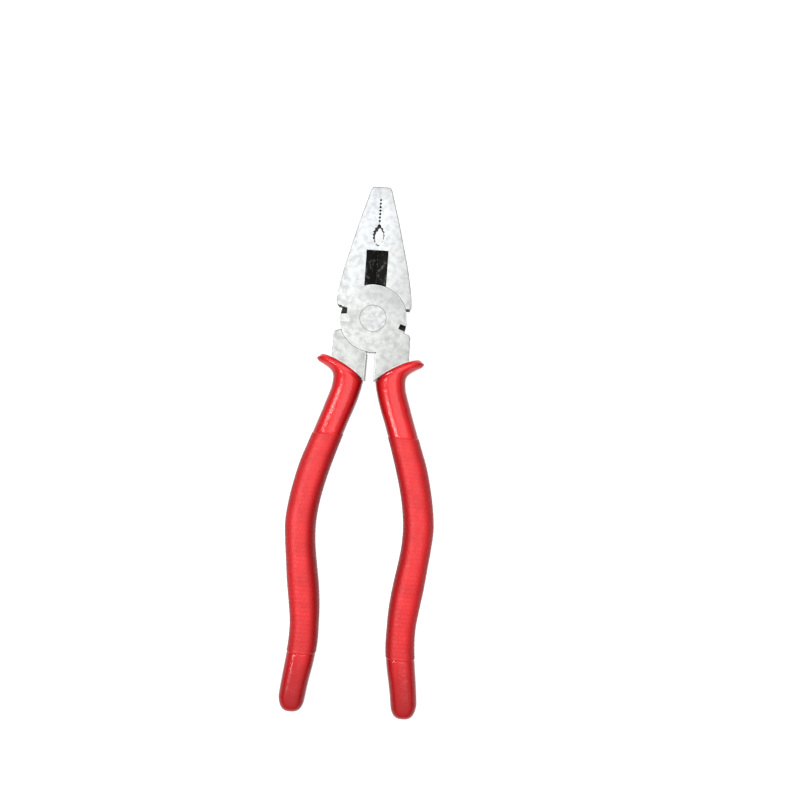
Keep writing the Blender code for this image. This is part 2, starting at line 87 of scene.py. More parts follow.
TANG_HALF_THICKNESS = (3.9, 2.9)
TANG_CORNER_R = 1.2
BORE_GAP = 0.3

# Clearances of the CAD forgings, and the closer fit that shows
CAD_HALF_GAP = 0.15         # from the middle to a jaw's flat face, and from the mid plane to a lap face
CAD_DISC_R = 13.3
CAD_RECESS_R = 13.6
CAD_RIVET_HOLE_R = 5.4
JAW_FACE_X = 0.012
RECESS_R = 13.36
RIVET_HOLE_R = 5.28

# Finishes of a forging, and where they change
SKIN, DARK, MACHINED, RIM, WALL = 0, 1, 2, 3, 4
FACE_Z = 4.0                # the outer faces lie farther from the mid plane than this
MARK_Z = 5.95               # a flat disc face nearer than this is the index mark's floor
CUTTER_Y = (7.0, 26.9)      # its foot is hidden behind the disc
CUTTER_HALF_WIDTH = 4.6
TEETH_X = (-3.0, 0.3)       # pipe grip and nose serrations
TEETH_Y = (27.8, 47.7)
JAW_SLOT_X = (-14.3, -10.2)
JAW_SLOT_Y = (0.7, 4.6)
JAW_SLOT_REACH = 15.5       # from the pivot, with the jaw's underside beside the slot
SHANK_SLOT_X = (10.1, 14.0)
SHANK_SLOT_Y = (-4.6, -1.6)
HANDLE_GAP_HALF_WIDTH = 2.4
SHARP_EDGE_DEG = 28.0

# Finer detail of the visible sleeve
AROUND = 156                # points around each section
RIM_ROUND = 0.5             # round at the edge of the mouth
RIM_ROUND_SHARE = 0.08      # part of the flare that the round takes up
MOUTH_LIFT = 0.27           # the moulded lip closes most of the gap under the bare shank
SECTION_STEP = 0.6          # along the smooth parts
DOME_SECTIONS = 34
BUMPS_AROUND = 26
BUMP_PITCH = 1.7            # along the grip
BUMP_DEPTH = 0.055
BUMP_HALF_SIZE = (0.47, 0.36)   # share of a cell, along the bump and across it
BUMP_TILT_DEG = 28.0        # rows lean one way and the other by turns
BUMP_FREE_BAND = 0.9        # plain band at each end of the raised zone
ZONE_STEP = 0.35            # length of the step up to the raised zone
PAINTED_SHADE_FROM = 0.12           # sideways share of the normal where the painted shade on the flanks begins
PAINTED_SHADE_LENGTH = 0.88
PAINTED_FLANK_SHADE = (1.0, 0.8)    # painted shade on the inner and outer flank
RING_LINE_DEPTH = 0.055
RING_LINE_HALF_WIDTH = 0.2
RING_LINE_OFFSET = 0.45     # outside the raised zone's ends
RING_LINE_GRIME = 0.4       # how much of the grime between bumps a ring line holds

# Colours, linear
# Painted light on the steel: each forging runs from a shaded tone by the shanks to a lit tone at the
# jaw tips, and the front and back forgings, though alike, get slightly different painted light
FRONT_LIT_TONE, FRONT_SHADED_TONE = (0.57, 0.585, 0.60), (0.42, 0.425, 0.41)
BACK_LIT_TONE, BACK_SHADED_TONE = (0.61, 0.62, 0.625), (0.40, 0.405, 0.39)
STAIN = (0.50, 0.50, 0.45)
GRAIN = (0.30, 0.30, 0.30)
SCRATCH = (0.34, 0.34, 0.33)
# Near-black steel: blackened finish, and painted shade in the cutter, slots and teeth
BLACKENED_AND_SHADED = ((0.010, 0.010, 0.009), (0.022, 0.022, 0.019))
BLACKENED_RUBBED = (0.15, 0.15, 0.14)
# Near-black machined steel: oil, and painted shade where it shows through slots and seams
OILY_AND_SHADED = ((0.022, 0.022, 0.021), (0.040, 0.040, 0.037))
OIL_FILM = (0.016, 0.015, 0.012)
WALL_TONES = ((0.60, 0.61, 0.61), (0.48, 0.49, 0.48))
DRAG_LINE = (0.36, 0.36, 0.35)
# Rims are darkened as painted shade
RIM_PAINTED_SHADE_TONES = ((0.23, 0.235, 0.235), (0.33, 0.335, 0.335))
RIVET_TONES = ((0.425, 0.435, 0.425), (0.40, 0.41, 0.40))
TURNING_MARK = (0.42, 0.42, 0.41)
RIGHT_RED, RIGHT_DEEP_RED = (0.62, 0.009, 0.012), (0.54, 0.006, 0.009)
LEFT_RED, LEFT_DEEP_RED = (0.61, 0.009, 0.012), (0.53, 0.006, 0.009)
FLOOR_GREY = (0.35, 0.35, 0.35, 1.0)
SKY_WHITE = (0.97, 0.985, 1.0, 1.0)

# Floor, sky and lights: place, aim, length along the tool, width across it, watts
FLOOR_HALF_SIZE = 2.5
FLOOR_DROP = 0.0002
FLOOR_GLOW = 0.82           # like a lit table, so that the openings show white
SKY_STRENGTH = (0.15, 1.15)  # at the horizon and overhead
LIGHTS = {"front_softbox": ((0.18, 0.02, 0.9), (0.0, 0.0, 0.0), 0.6, 0.6, 2.9),
          "left_grip_strip": ((-0.36, 0.145, 0.6), (0.0, 0.03, 0.0), 0.07, 0.30, 1.5),
          "right_grip_strip": ((-0.36, -0.135, 0.6), (0.0, 0.0, 0.0), 0.045, 0.32, 1.4)}

# Camera, square to the tool's front
VIEW_DISTANCE = 0.40
VIEW_SIDE_DEG = 0.5
VIEW_PITCH_DEG = 0.0
VIEW_ROLL_DEG = 3.9
VIEW_AIM = (12.8, -31.33)   # on the tool's front, from the pivot
VIEW_LENS = 45.9


# ---------------------------------------------------------------- numbers along curves

def smooth_rows(rows, steps, even_first=True):
    """Rows joined by a smooth curve; with even_first the first column runs evenly between rows."""
    rows = np.array(rows, float)
    padded = np.vstack([2 * rows[0] - rows[1], rows, 2 * rows[-1] - rows[-2]])
    made = []
    for index in range(len(rows) - 1):
        p0, p1, p2, p3 = padded[index:index + 4]
        for t in np.arange(steps) / steps:
            row = 0.5 * (2 * p1 + (p2 - p0) * t + (2 * p0 - 5 * p1 + 4 * p2 - p3) * t ** 2
                         + (3 * p1 - p0 - 3 * p2 + p3) * t ** 3)
            if even_first:
                row[0] = p1[0] + (p2[0] - p1[0]) * t
            made.append(row)
    return np.array(made + [rows[-1]])


SIDE_CURVE = smooth_rows(SLEEVE_SIDES[::-1], 16)
MOUTH_CURVE = smooth_rows(SLEEVE_MOUTH, 16)
UNDERSIDE_CURVE = smooth_rows(GUARD_UNDERSIDE, 8, even_first=False)


def sides_at(y):
    inner = np.interp(y, SIDE_CURVE[:, 0], SIDE_CURVE[:, 1])
    outer = np.interp(y, SIDE_CURVE[:, 0], SIDE_CURVE[:, 2])
    return inner, outer


def mouth_height(x):
    return np.interp(x, MOUTH_CURVE[:, 0], MOUTH_CURVE[:, 1])


def ease(value):
    """0 to 1 with a soft start and end."""
    value = np.clip(value, 0.0, 1.0)
    return value * value * (3 - 2 * value)


def evenly_round(points, count):
    """Evenly spaced points along a closed outline whose last point repeats its first."""
    steps = np.linalg.norm(np.diff(points, axis=0), axis=1)
    length = np.concatenate([[0.0], np.cumsum(steps)])
    even = np.linspace(0.0, length[-1], count, endpoint=False)
    return np.column_stack([np.interp(even, length, points[:, axis]) for axis in (0, 1)])


def unit_oval():
    angle = np.linspace(0.0, 2 * math.pi, 2881)
    power = 2 / SLEEVE_SQUARENESS
    u = np.sign(np.cos(angle)) * np.abs(np.cos(angle)) ** power
    v = np.sign(np.sin(angle)) * np.abs(np.sin(angle)) ** power
    return evenly_round(np.column_stack([u, v]), AROUND).T


OVAL_U, OVAL_V = unit_oval()


def rounded_rectangle(half_x, half_z, radius):
    points = [(half_x, 0.0)]
    for quarter in range(4):
        sign_x = (1, -1, -1, 1)[quarter]
        sign_z = (1, 1, -1, -1)[quarter]
        for angle in np.radians(np.linspace(quarter * 90, quarter * 90 + 90, 12)):
            points.append((sign_x * (half_x - radius) + radius * math.cos(angle),
                           sign_z * (half_z - radius) + radius * math.sin(angle)))
    return evenly_round(np.array(points + [points[0]]), AROUND)


# ---------------------------------------------------------------- sleeve

def level_ring(y, half_z, grow=0.0, squeeze=1.0):
    """Level section of the sleeve at a height."""
    inner, outer = sides_at(y)
    half_x = (outer - inner) / 2 * squeeze + grow
    return np.column_stack([(inner + outer) / 2 + OVAL_U * half_x, np.full(AROUND, y),
                            OVAL_V * (half_z * squeeze + grow)])


def flare_ring(rise, outer, inset):
    """Section of the flare; rise is 0 where the flare begins and 1 at the mouth."""
    start = np.array((SLEEVE_SIDES[0][1], SLEEVE_SIDES[0][0]))
    mouth = np.array(SLEEVE_MOUTH[0])
    chord = np.array(SLEEVE_MOUTH[-1]) - mouth
    inner = start + (mouth - start) * rise ** FLARE_INNER_EASE + (inset, 0.0)
    across = np.array(outer) - (inset, 0.0) - inner
    share = (OVAL_U + 1) / 2
    bulge = mouth_height(mouth[0] + chord[0] * share) - (mouth[1] + chord[1] * share)
    return np.column_stack([inner[0] + across[0] * share,
                            inner[1] + across[1] * share + bulge * rise,
                            OVAL_V * (SLEEVE_HALF_THICKNESS - inset)])


def bore_ring(y):
    """Section of the blind bore that holds the tang."""
    inner, outer = sides_at(y)
    share = min(1.0, max(0.0, (y - TANG_END_Y) / (TANG_TOP_Y - TANG_END_Y)))
    half_x = TANG_HALF_WIDTH[1] + share * (TANG_HALF_WIDTH[0] - TANG_HALF_WIDTH[1]) + BORE_GAP
    half_z = TANG_HALF_THICKNESS[1] + share * (TANG_HALF_THICKNESS[0] - TANG_HALF_THICKNESS[1])
    outline = rounded_rectangle(half_x, half_z + BORE_GAP, TANG_CORNER_R)
    return np.column_stack([(inner + outer) / 2 + outline[:, 0], np.full(AROUND, y), outline[:, 1]])


def zone_heights():
    """Heights of the sections in the raised zone, closer together at its two steps."""
    high, low = GRIP_ZONE_Y
    near_step = 1.2
    fine = np.arange(0.0, near_step, ZONE_STEP / 4)
    middle = np.arange(low + near_step, high - near_step, BUMP_PITCH / 6)
    return np.concatenate([low - fine[::-1][:-1], low + fine, middle, high - fine[::-1],
                           high + fine[1:]])


def outer_rings():
    """Sections of the outside, from the domed end to the mouth, and how raised each one is."""
    high, low = GRIP_ZONE_Y
    thin = SLEEVE_END_HALF_THICKNESS
    thick = SLEEVE_HALF_THICKNESS
    rings = []
    raised = []
    for angle in np.radians(np.linspace(1.5, 88.0, DOME_SECTIONS)):
        y = DOME_Y - (DOME_Y - SLEEVE_END_Y) * math.cos(angle)
        rings.append(level_ring(y, thin, squeeze=math.sin(angle) ** DOME_FULLNESS))
        raised.append(0.0)
    zone = zone_heights()
    heights = np.concatenate([np.arange(DOME_Y, zone[0] - 0.3, SECTION_STEP), zone,
                              np.arange(zone[-1] + 0.4, SLEEVE_SIDES[0][0], SECTION_STEP)])
    for y in heights:
        swell = min(1.0, max(0.0, (y - low) / (high - low) / THICK_FROM_SHARE))
        rise = ease((y - low) / ZONE_STEP + 0.5) * ease((high - y) / ZONE_STEP + 0.5)
        rings.append(level_ring(y, thin + swell * (thick - thin), GRIP_ZONE_RISE * rise))
        raised.append(float(rise))
    last = len(UNDERSIDE_CURVE) - 1
    for index, outer in enumerate(UNDERSIDE_CURVE):
        share = index / last
        edge = max(0.0, (share - 1 + RIM_ROUND_SHARE) / RIM_ROUND_SHARE)
        inset = RIM_ROUND * (1 - math.sqrt(1 - edge * edge))
        rings.append(flare_ring(share ** FLARE_RISE_EASE, outer, inset))
        raised.append(0.0)
    return np.array(rings), np.array(raised)


def grid_normals(rings):
    """Outward normals of a tube of rings."""
    along = np.gradient(rings, axis=0)
    around = np.roll(rings, -1, axis=1) - np.roll(rings, 1, axis=1)
    normals = np.cross(along, around)
    return normals / np.linalg.norm(normals, axis=2, keepdims=True)


def bump_pattern(rings, seed):
    """Height of the moulded bumps, 0 between them and 1 on top, with every cell a little different."""
    centre = rings.mean(axis=1)
    along = np.concatenate([[0.0], np.cumsum(np.linalg.norm(np.diff(centre, axis=0), axis=1))])
    row = (along / BUMP_PITCH)[:, None]
    row_index = np.floor(row).astype(int)
    turn = np.arange(AROUND)[None, :] / AROUND * BUMPS_AROUND + 0.5 * (row_index % 2)
    column_index = np.floor(turn).astype(int) % BUMPS_AROUND
    lean = np.radians(BUMP_TILT_DEG) * np.where(row_index % 2 == 0, 1.0, -1.0)
    local_x = turn - np.floor(turn) - 0.5
    local_y = row - row_index - 0.5
    long_way = local_x * np.cos(lean) + local_y * np.sin(lean)
    short_way = local_y * np.cos(lean) - local_x * np.sin(lean)
    radius = np.hypot(long_way / BUMP_HALF_SIZE[0], short_way / BUMP_HALF_SIZE[1])
    varied = np.random.default_rng(seed).uniform(0.5, 1.0, (row_index.max() + 1, BUMPS_AROUND))
    return ease((1.15 - radius) / 0.75) * varied[np.broadcast_to(row_index, turn.shape), column_index]


def sleeve_surface(seed):
    """All rings of one sleeve, outside and bore, with what its material reads at each point."""
    rings, raised = outer_rings()
    centre_y = rings[:, :, 1].mean(axis=1)
    high, low = GRIP_ZONE_Y
    inside = ease((centre_y - low) / BUMP_FREE_BAND) * ease((high - centre_y) / BUMP_FREE_BAND)
    inside = np.where(raised > 0.99, inside, 0.0)[:, None]
    bumps = bump_pattern(rings, seed)
    relief = 1 - inside * (1 - bumps)
    depth = BUMP_DEPTH * (relief - 1)
    for line_y in (high + RING_LINE_OFFSET, low - RING_LINE_OFFSET):
        line = np.exp(-((centre_y - line_y) / RING_LINE_HALF_WIDTH) ** 2)
        depth -= RING_LINE_DEPTH * line[:, None]
        relief -= RING_LINE_GRIME * line[:, None]
    outside = rings + grid_normals(rings) * depth[:, :, None]

    # The lip of the mouth, and the bore down to its blind end
    top_bore = bore_ring(TANG_TOP_Y)
    top_bore[:, 1] = mouth_height(top_bore[:, 0]) + MOUTH_LIFT
    lip = []
    for share in np.linspace(0.0, 1.0, 9)[1:-1]:
        ring = rings[-1] + (top_bore - rings[-1]) * share
        ring[:, 1] = mouth_height(ring[:, 0]) + MOUTH_LIFT * ease(share * 3)
        lip.append(ring)
    bore_heights = np.linspace(SLEEVE_MOUTH[0][1], TANG_END_Y - BORE_GAP, 40)
    bore = [top_bore] + [bore_ring(y) for y in bore_heights]
    everything = np.concatenate([outside, lip, bore])
    hidden = len(everything) - len(outside)
    relief = np.concatenate([relief, np.ones((hidden, AROUND))])
    matte = np.repeat(np.concatenate([raised, np.zeros(hidden)])[:, None], AROUND, axis=1)
    # Painted shade on the flanks: darker where the normal turns sideways, more on the inner side
    sideways = grid_normals(rings)[:, :, 0]
    painted_flank_shade = ease((np.abs(sideways) - PAINTED_SHADE_FROM) / PAINTED_SHADE_LENGTH)
    painted_flank_shade *= np.where(sideways < 0, PAINTED_FLANK_SHADE[0], PAINTED_FLANK_SHADE[1])
    painted_flank_shade = np.concatenate([painted_flank_shade, np.zeros((hidden, AROUND))])
    return everything, {"relief": relief, "matte": matte, "painted_flank_shade": painted_flank_shade}


def make_sleeve(name, node, body, turned_over, seed, mat):
    """Fine visible sleeve that stands for a CAD sleeve."""
    rings, shades = sleeve_surface(seed)
    count = len(rings)
    points = rings.reshape(-1, 3)
    ends = np.array([[points[:AROUND, 0].mean(), SLEEVE_END_Y, 0.0], rings[-1].mean(axis=0)])
    points = np.vstack([points, ends])
    if turned_over:
        points = points * (-1, 1, -1)
    points = points * MM + np.array(PIVOT)
    low = np.arange(count - 1)[:, None] * AROUND
    here = np.arange(AROUND)
    following = (here + 1) % AROUND
    quads = np.stack([low + here, low + AROUND + here, low + AROUND + following,
                      low + following], axis=2).reshape(-1, 4)
    pole = count * AROUND
    top = (count - 1) * AROUND
    faces = quads.tolist()
    faces += [(pole, int(i), int(j)) for i, j in zip(here, following)]
    faces += [(pole + 1, int(top + j), int(top + i)) for i, j in zip(here, following)]
    mesh = bpy.data.meshes.new(name)
    mesh.from_pydata(points.tolist(), [], faces)
    mesh.polygons.foreach_set("use_smooth", [True] * len(mesh.polygons))
    for label, values in shades.items():
        attribute = mesh.attributes.new(label, "FLOAT", "POINT")
        attribute.data.foreach_set("value", np.append(values.ravel(), [1.0, 1.0]).astype(np.float32))
    mesh.materials.append(mat)
    obj = bpy.data.objects.new(name, mesh)
    bpy.context.scene.collection.objects.link(obj)
    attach(obj, body)
    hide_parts(node)
    return obj


# ---------------------------------------------------------------- forgings

def within(value, limits):
    return limits[0] < value < limits[1]


def forging_zone(centre, normal):
    """Finish of a face of the front forging, from its middle and its normal."""
    x, y, z = centre
    flat = abs(normal.z) > 0.98
    upright = abs(normal.z) < 0.5
    reach = math.hypot(x, y)
    if flat and abs(z) > FACE_Z:
        # The index mark's floor takes the rim finish, darkened as painted shade
        return RIM if abs(z) < MARK_Z and reach < CAD_DISC_R + 1 else SKIN
    # Lap faces and the rivet hole take the near-black machined finish, partly painted shade
    if flat and abs(z - CAD_HALF_GAP) < 0.1 or reach < CAD_RIVET_HOLE_R + 0.2:
        return MACHINED

    # Cutter bevels, teeth and slot walls take the blackened finish, darkened as painted shade
    cutter_low, cutter_top = CUTTER_Y
    near_cutter_top = within(y, (cutter_top - 0.3, cutter_top + 0.4))
    if near_cutter_top and abs(x) < CUTTER_HALF_WIDTH and normal.y < -0.8:
        return DARK
    beside_edge = within(x, (-CUTTER_HALF_WIDTH, 0.2)) and within(y, (cutter_low, cutter_top + 0.2))
    if beside_edge and normal.x > 0.3 and abs(normal.z) > 0.3:
        return DARK
    if abs(x) < 0.3 and normal.x > 0.9 and y > CAD_DISC_R - 0.3:
        return MACHINED
    if within(x, TEETH_X) and within(y, TEETH_Y) and abs(normal.z) < 0.6:
        return DARK
    in_jaw_slot = within(x, JAW_SLOT_X) and within(y, JAW_SLOT_Y) and reach < JAW_SLOT_REACH
    in_shank_slot = within(x, SHANK_SLOT_X) and within(y, SHANK_SLOT_Y)
    if upright and (in_jaw_slot or in_shank_slot):
        return DARK
    if abs(reach - CAD_RECESS_R) < 0.3 and abs(normal.z) < 0.1:
        return MACHINED

    handle_gap = abs(x) < HANDLE_GAP_HALF_WIDTH and y < -CAD_DISC_R + 0.5
    on_disc_edge = abs(reach - CAD_DISC_R) < 0.4
    along_sleeve = y < -CAD_DISC_R - 1 and normal.y < -0.3
    # Outline bevels take the rim finish, darkened as painted shade
    bevel = abs(normal.z) > 0.15 and abs(z) > FACE_Z
    if bevel and not (handle_gap or on_disc_edge or along_sleeve):
        return RIM
    return WALL


def close_gaps(bm, flip):
    """Bring the jaw's flat face and the recess round the other disc close to their neighbours."""
    for vert in bm.verts:
        x = (vert.co.x - PIVOT.x) / MM * flip
        y = (vert.co.y - PIVOT.y) / MM
        reach = math.hypot(x, y)
        if abs(x + CAD_HALF_GAP) < 0.02 and y > CAD_DISC_R:
            vert.co.x = PIVOT.x - JAW_FACE_X * MM * flip
            continue
        for cad_radius, radius in ((CAD_RECESS_R, RECESS_R), (CAD_RIVET_HOLE_R, RIVET_HOLE_R)):
            if abs(reach - cad_radius) < 0.03:
                vert.co.x = PIVOT.x + x * radius / reach * MM * flip
                vert.co.y = PIVOT.y + y * radius / reach * MM


def make_forging(name, node, body, turned_over, mats):
    """Copy of a CAD forging with its finishes told apart."""
    bm = bmesh.new()
    bm.from_mesh(frame["nodes"][node].data)
    bmesh.ops.remove_doubles(bm, verts=bm.verts, dist=2e-6)
    flip = -1 if turned_over else 1
    close_gaps(bm, flip)
    bm.normal_update()
    for face in bm.faces:
        centre = (face.calc_center_median() - PIVOT) / MM
        centre = Vector((centre.x * flip, centre.y, centre.z * flip))
        normal = Vector((face.normal.x * flip, face.normal.y, face.normal.z * flip))
        face.material_index = forging_zone(centre, normal)
        face.smooth = abs(normal.z) < 0.98
    mesh = bpy.data.meshes.new(name)
    bm.to_mesh(mesh)
    bm.free()
    loaded_normals = mesh.attributes.get("custom_normal")
    if loaded_normals is not None:
        mesh.attributes.remove(loaded_normals)
    mesh.set_sharp_from_angle(angle=math.radians(SHARP_EDGE_DEG))
    for mat in mats:
        mesh.materials.append(mat)
    obj = bpy.data.objects.new(name, mesh)
    bpy.context.scene.collection.objects.link(obj)
    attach(obj, body)
    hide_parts(node)
    return obj


# ---------------------------------------------------------------- materials

class Surface:
    """A node material under construction, with short calls for the nodes used here."""

    def __init__(self, name):
        self.material = bpy.data.materials.new(name)
        self.material.use_nodes = True
        self.tree = self.material.node_tree
        self.shader = self.tree.nodes["Principled BSDF"]
        self.place = self.tree.nodes.new("ShaderNodeTexCoord").outputs["Object"]

    def feed(self, socket, value):
        """Link an output to a socket, or set the socket to a constant."""
        if isinstance(value, bpy.types.NodeSocket):
            self.tree.links.new(value, socket)
        else:
            socket.default_value = value

    def set(self, **values):
        """Set inputs of the shader by name, with _ for a blank."""
        for name, value in values.items():
            self.feed(self.shader.inputs[name.replace("_", " ")], value)

    def stretched(self, scale):
        """Object coordinates scaled by an (x, y, z) triple."""
        node = self.tree.nodes.new("ShaderNodeMapping")
        node.inputs["Scale"].default_value = scale
        self.feed(node.inputs["Vector"], self.place)
        return node.outputs["Vector"]

    def noise(self, size_mm, detail=2.0, roughness=0.5, place=None):
        """Noise with features of about this size."""
        node = self.tree.nodes.new("ShaderNodeTexNoise")
        node.inputs["Scale"].default_value = 1 / (size_mm * MM) if place is None else 1.0
        node.inputs["Detail"].default_value = detail
        node.inputs["Roughness"].default_value = roughness
        self.feed(node.inputs["Vector"], self.place if place is None else place)
        return node.outputs["Fac"]

    def attribute(self, name):
        node = self.tree.nodes.new("ShaderNodeAttribute")
        node.attribute_name = name
        return node.outputs["Fac"]

    def axis(self, name):
        """One object coordinate, in metres."""
        node = self.tree.nodes.new("ShaderNodeSeparateXYZ")
        self.feed(node.inputs[0], self.place)
        return node.outputs[name]

    def remap(self, value, from_low, from_high, to_low=0.0, to_high=1.0):
        node = self.tree.nodes.new("ShaderNodeMapRange")
        node.interpolation_type = "SMOOTHSTEP"
        self.feed(node.inputs["Value"], value)
        for key, number in (("From Min", from_low), ("From Max", from_high),
                            ("To Min", to_low), ("To Max", to_high)):
            node.inputs[key].default_value = number
        return node.outputs["Result"]

    def math(self, operation, a, b):
        node = self.tree.nodes.new("ShaderNodeMath")
        node.operation = operation
        self.feed(node.inputs[0], a)
        self.feed(node.inputs[1], b)
        return node.outputs[0]

    def mix(self, share, a, b):
        """Colour between a and b."""
        node = self.tree.nodes.new("ShaderNodeMix")
        node.data_type = "RGBA"
        self.feed(node.inputs["Factor"], share)
        for socket, colour in (("A", a), ("B", b)):
            wanted = [s for s in node.inputs if s.name == socket and s.type == "RGBA"][0]
            self.feed(wanted, (*colour, 1.0) if isinstance(colour, tuple) else colour)
        return [s for s in node.outputs if s.type == "RGBA"][0]

    def bump(self, height, distance_mm, strength=1.0, below=None):
        """Bump from a height of 0 to 1, laid over another bump."""
        node = self.tree.nodes.new("ShaderNodeBump")
        node.inputs["Strength"].default_value = strength
        node.inputs["Distance"].default_value = distance_mm * MM
        self.feed(node.inputs["Height"], height)
        if below is not None:
            self.feed(node.inputs["Normal"], below)
        return node.outputs["Normal"]


def shaded(colour, share):
    """The same hue at a share of its brightness."""
    return tuple(channel * share for channel in colour)


def blasted_steel(name, lit_tone, shaded_tone):
    """Bead-blasted, pearl-plated steel: fine grain, cloudy mottling, a few handling scratches, and
    painted light from a shaded tone by the shanks to a lit tone at the jaw tips.
    """
    s = Surface(name)
    clouds = s.noise(2.0, detail=4.0, roughness=0.62)
    patches = s.noise(9.0, detail=2.0)
    grain = s.noise(0.22, detail=2.0)
    scratches = s.noise(1.0, detail=1.0, place=s.stretched((420.0, 5200.0, 420.0)))
    scratch_mask = s.remap(scratches, 0.70, 0.76)
    # Painted light: shaded by the shanks, lit towards the jaw tips
    painted_light_share = s.remap(s.axis("Y"), PIVOT.y - 14 * MM, PIVOT.y + 50 * MM)
    painted_light_tone = s.mix(painted_light_share, shaded_tone, lit_tone)
    darker = s.mix(s.remap(clouds, 0.40, 0.66, 0.0, 0.15), painted_light_tone, shaded(shaded_tone, 0.80))
    stained = s.mix(s.remap(patches, 0.50, 0.70, 0.0, 0.06), darker, STAIN)
    speckled = s.mix(s.remap(grain, 0.60, 0.72, 0.0, 0.10), stained, GRAIN)
    worn = s.mix(s.math("MULTIPLY", scratch_mask, 0.10), speckled, SCRATCH)
    rough = s.remap(clouds, 0.35, 0.70, 0.56, 0.70)
    rough = s.math("SUBTRACT", rough, s.math("MULTIPLY", scratch_mask, 0.04))
    normal = s.bump(grain, 0.018, 0.55)
    normal = s.bump(clouds, 0.02, 0.25, below=normal)
    s.set(Base_Color=worn, Metallic=1.0, Roughness=rough, Normal=normal)
    return s.material


def dark_steel(name):
    """Blackened, oiled steel of the ground bevels, slots and teeth, darkened further as painted shade
    in these hollows, with grinding lines.
    """
    s = Surface(name)
    lines = s.noise(1.0, detail=2.0, place=s.stretched((900.0, 9000.0, 900.0)))
    blotches = s.noise(2.4, detail=3.0)
    rubbed = s.remap(blotches, 0.54, 0.72, 0.0, 0.75)
    base = s.mix(s.remap(lines, 0.45, 0.65), *BLACKENED_AND_SHADED)
    colour = s.mix(rubbed, base, BLACKENED_RUBBED)
    rough = s.remap(blotches, 0.3, 0.7, 0.42, 0.60)
    normal = s.bump(lines, 0.01, 0.5)
    s.set(Base_Color=colour, Metallic=0.1, Roughness=rough, Normal=normal)
    s.set(Specular_IOR_Level=0.06)
    return s.material


def machined_steel(name):
    """Oily machined steel of the lap faces, the rivet hole and the jaws' flat faces, kept near black as
    painted shade where it shows through slots and seams.
    """
    s = Surface(name)
    rings = s.noise(1.0, detail=2.0, place=s.stretched((5200.0, 5200.0, 700.0)))
    oil = s.noise(4.0, detail=3.0)
    base = s.mix(s.remap(rings, 0.4, 0.65), *OILY_AND_SHADED)
    colour = s.mix(s.remap(oil, 0.45, 0.65, 0.0, 0.7), base, OIL_FILM)
    s.set(Base_Color=colour, Metallic=1.0, Roughness=s.remap(oil, 0.3, 0.7, 0.28, 0.48),
          Normal=s.bump(rings, 0.008, 0.5))
    return s.material


def wall_steel(name):
    """Pale, dry side walls as the press left them, with drag lines through the thickness."""
    s = Surface(name)
    lines = s.noise(1.0, detail=2.0, place=s.stretched((2600.0, 2600.0, 160.0)))
    clouds = s.noise(2.2, detail=3.0)
    base = s.mix(s.remap(clouds, 0.38, 0.68), *WALL_TONES)
    colour = s.mix(s.remap(lines, 0.52, 0.70, 0.0, 0.30), base, DRAG_LINE)
    s.set(Base_Color=colour, Metallic=0.35, Roughness=s.remap(clouds, 0.3, 0.7, 0.50, 0.64),
          Normal=s.bump(lines, 0.010, 0.5))
    return s.material


def rim_steel_painted_shade(name):
    """Rim bevels in painted shade: darker and greyer than the faces, with lighter rubbed patches in
    places.
    """
    s = Surface(name)
    rub = s.noise(1.6, detail=3.0)
    grain = s.noise(0.2, detail=2.0)
    colour = s.mix(s.remap(rub, 0.42, 0.66), *RIM_PAINTED_SHADE_TONES)
    s.set(Base_Color=colour, Metallic=1.0, Roughness=s.remap(rub, 0.35, 0.65, 0.50, 0.38),
          Normal=s.bump(grain, 0.012, 0.5))
    return s.material


def rivet_steel(name):
    """Faced rivet head with faint turning marks."""
    s = Surface(name)
    node = s.tree.nodes.new("ShaderNodeTexWave")
    node.wave_type = "RINGS"
    node.rings_direction = "Z"
    node.inputs["Scale"].default_value = 900.0
    node.inputs["Distortion"].default_value = 0.8
    node.inputs["Detail"].default_value = 2.0
    shift = s.tree.nodes.new("ShaderNodeMapping")
    shift.inputs["Location"].default_value = -PIVOT
    s.feed(shift.inputs["Vector"], s.place)
    s.feed(node.inputs["Vector"], shift.outputs["Vector"])
    marks = node.outputs["Fac"]
    clouds = s.noise(1.8, detail=4.0)
    grain = s.noise(0.2, detail=2.0)
    base = s.mix(s.remap(clouds, 0.38, 0.66), *RIVET_TONES)
    colour = s.mix(s.math("MULTIPLY", marks, 0.10), base, TURNING_MARK)
    normal = s.bump(marks, 0.004, 0.35, below=s.bump(grain, 0.012, 0.45))
    s.set(Base_Color=colour, Metallic=1.0, Roughness=s.remap(clouds, 0.3, 0.7, 0.52, 0.66),
          Normal=normal)
    return s.material


